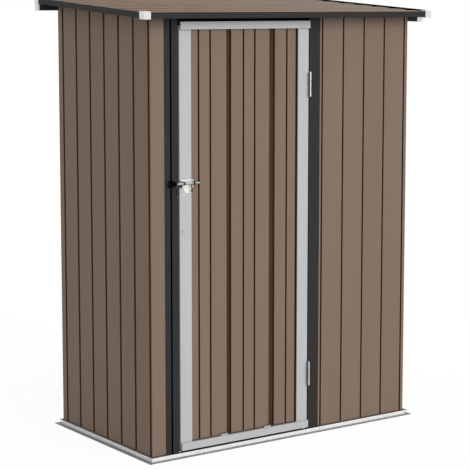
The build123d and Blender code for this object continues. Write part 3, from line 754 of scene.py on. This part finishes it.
door_shadow_strips = [door_shadow_strip(stile_high.x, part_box("door_stile_right")[0].x, rail_top + DOOR_SHADOW_STRIP_HEIGHT)]
for start, end in zip(clip_edges[::2], clip_edges[1::2]):
    head = rail_high.z + DOOR_SHADOW_STRIP_HEIGHT
    door_shadow_strips.append(door_shadow_strip(start - CLIP_MARGIN, end + CLIP_MARGIN, head))
shadow_strips("door_foot_shadow_strip", door_shadow_strips, SHADOW_PAINT_BROWN, "door")

# Rivet under the latch plate, wider and higher than the others
WIDER, HIGHER = 1.3, 1.5
latch_rivet = [(radius * WIDER, height * HIGHER) for radius, height in RIVET]
bm = bmesh.new()
turned(bm, latch_rivet, (LEFT_X + 0.153, stile_low.y, 1.060), (0, -1, 0))
piece("latch_rivet", bm, STEEL_BRIGHT_AND_HIGHLIGHT, "door")

# Floor, light and camera


def background(tree, other):
    """Shows a plain white to the camera and in reflections, and another shader elsewhere."""
    path = tree.nodes.new("ShaderNodeLightPath")
    seen = tree.nodes.new("ShaderNodeMath")
    seen.operation = "MAXIMUM"
    tree.links.new(path.outputs["Is Camera Ray"], seen.inputs[0])
    either = tree.nodes.new("ShaderNodeMath")
    either.operation = "MAXIMUM"
    tree.links.new(path.outputs["Is Glossy Ray"], either.inputs[0])
    tree.links.new(path.outputs["Is Transmission Ray"], either.inputs[1])
    tree.links.new(either.outputs[0], seen.inputs[1])
    mix = tree.nodes.new("ShaderNodeMixShader")
    tree.links.new(seen.outputs[0], mix.inputs[0])
    tree.links.new(other, mix.inputs[1])
    return mix


WHITE = (1, 1, 1, 1)
AMBIENT = 0.53
world = bpy.data.worlds.new("studio")
bpy.context.scene.world = world
world.use_nodes = True
ambient = world.node_tree.nodes["Background"]
ambient.inputs["Color"].default_value = WHITE
ambient.inputs["Strength"].default_value = AMBIENT
plain = world.node_tree.nodes.new("ShaderNodeBackground")
plain.inputs["Color"].default_value = WHITE
plain.inputs["Strength"].default_value = 1.0
world_mix = background(world.node_tree, ambient.outputs[0])
world.node_tree.links.new(plain.outputs[0], world_mix.inputs[2])
world_output = world.node_tree.nodes["World Output"]
world.node_tree.links.new(world_mix.outputs[0], world_output.inputs["Surface"])

FLOOR_GREY = (0.82, 0.82, 0.82, 1)
FLOOR_GLOW = 1.08
GLOW_SHARE = 0.85
FLOOR_HALF = 3000.0
FLOOR_DROP = 0.0005


def floor():
    """Pale floor that stays white in the picture and takes a faint shadow."""
    mesh = bpy.data.meshes.new("floor")
    turns = ((-1, -1), (1, -1), (1, 1), (-1, 1))
    corners = [(x * FLOOR_HALF, y * FLOOR_HALF, -FLOOR_DROP) for x, y in turns]
    mesh.from_pydata(corners, [], [(0, 1, 2, 3)])
    obj = bpy.data.objects.new("floor", mesh)
    bpy.context.scene.collection.objects.link(obj)
    material = bpy.data.materials.new("floor")
    material.use_nodes = True
    tree = material.node_tree
    diffuse = tree.nodes.new("ShaderNodeBsdfDiffuse")
    diffuse.inputs["Color"].default_value = FLOOR_GREY
    glow = tree.nodes.new("ShaderNodeEmission")
    glow.inputs["Strength"].default_value = FLOOR_GLOW
    lit = tree.nodes.new("ShaderNodeMixShader")
    lit.inputs[0].default_value = GLOW_SHARE
    tree.links.new(diffuse.outputs[0], lit.inputs[1])
    tree.links.new(glow.outputs[0], lit.inputs[2])
    mix = background(tree, diffuse.outputs[0])
    tree.links.new(lit.outputs[0], mix.inputs[2])
    tree.links.new(mix.outputs[0], tree.nodes["Material Output"].inputs["Surface"])
    mesh.materials.append(material)


floor()


def sun(name, towards, strength, angle):
    """Soft distant light that shines from a direction."""
    data = bpy.data.lights.new(name, "SUN")
    data.energy = strength
    data.angle = math.radians(angle)
    obj = bpy.data.objects.new(name, data)
    obj.rotation_mode = "QUATERNION"
    obj.rotation_quaternion = Vector(towards).to_track_quat("Z", "Y")
    bpy.context.scene.collection.objects.link(obj)


sun("key", (0.35, -0.86, 0.38), 1.2, 40)
sun("fill", (-0.5, -0.86, 0.02), 0.78, 60)

# Fitted to the photo, with a slight tilt in place of most of the shift, so that views from
# other sides keep the whole shed in the frame
camera_data = bpy.data.cameras.new("camera")
camera_data.sensor_width = 36.0
camera_data.lens = 122.11
camera_data.shift_y = -0.06
camera = bpy.data.objects.new("camera", camera_data)
camera.location = (-3.9484, -5.5903, 1.8084)
camera.rotation_euler = (math.radians(82.7637), 0, math.radians(-35.2365))
bpy.context.scene.collection.objects.link(camera)
bpy.context.scene.camera = camera
bpy.context.scene.view_settings.view_transform = "Standard"
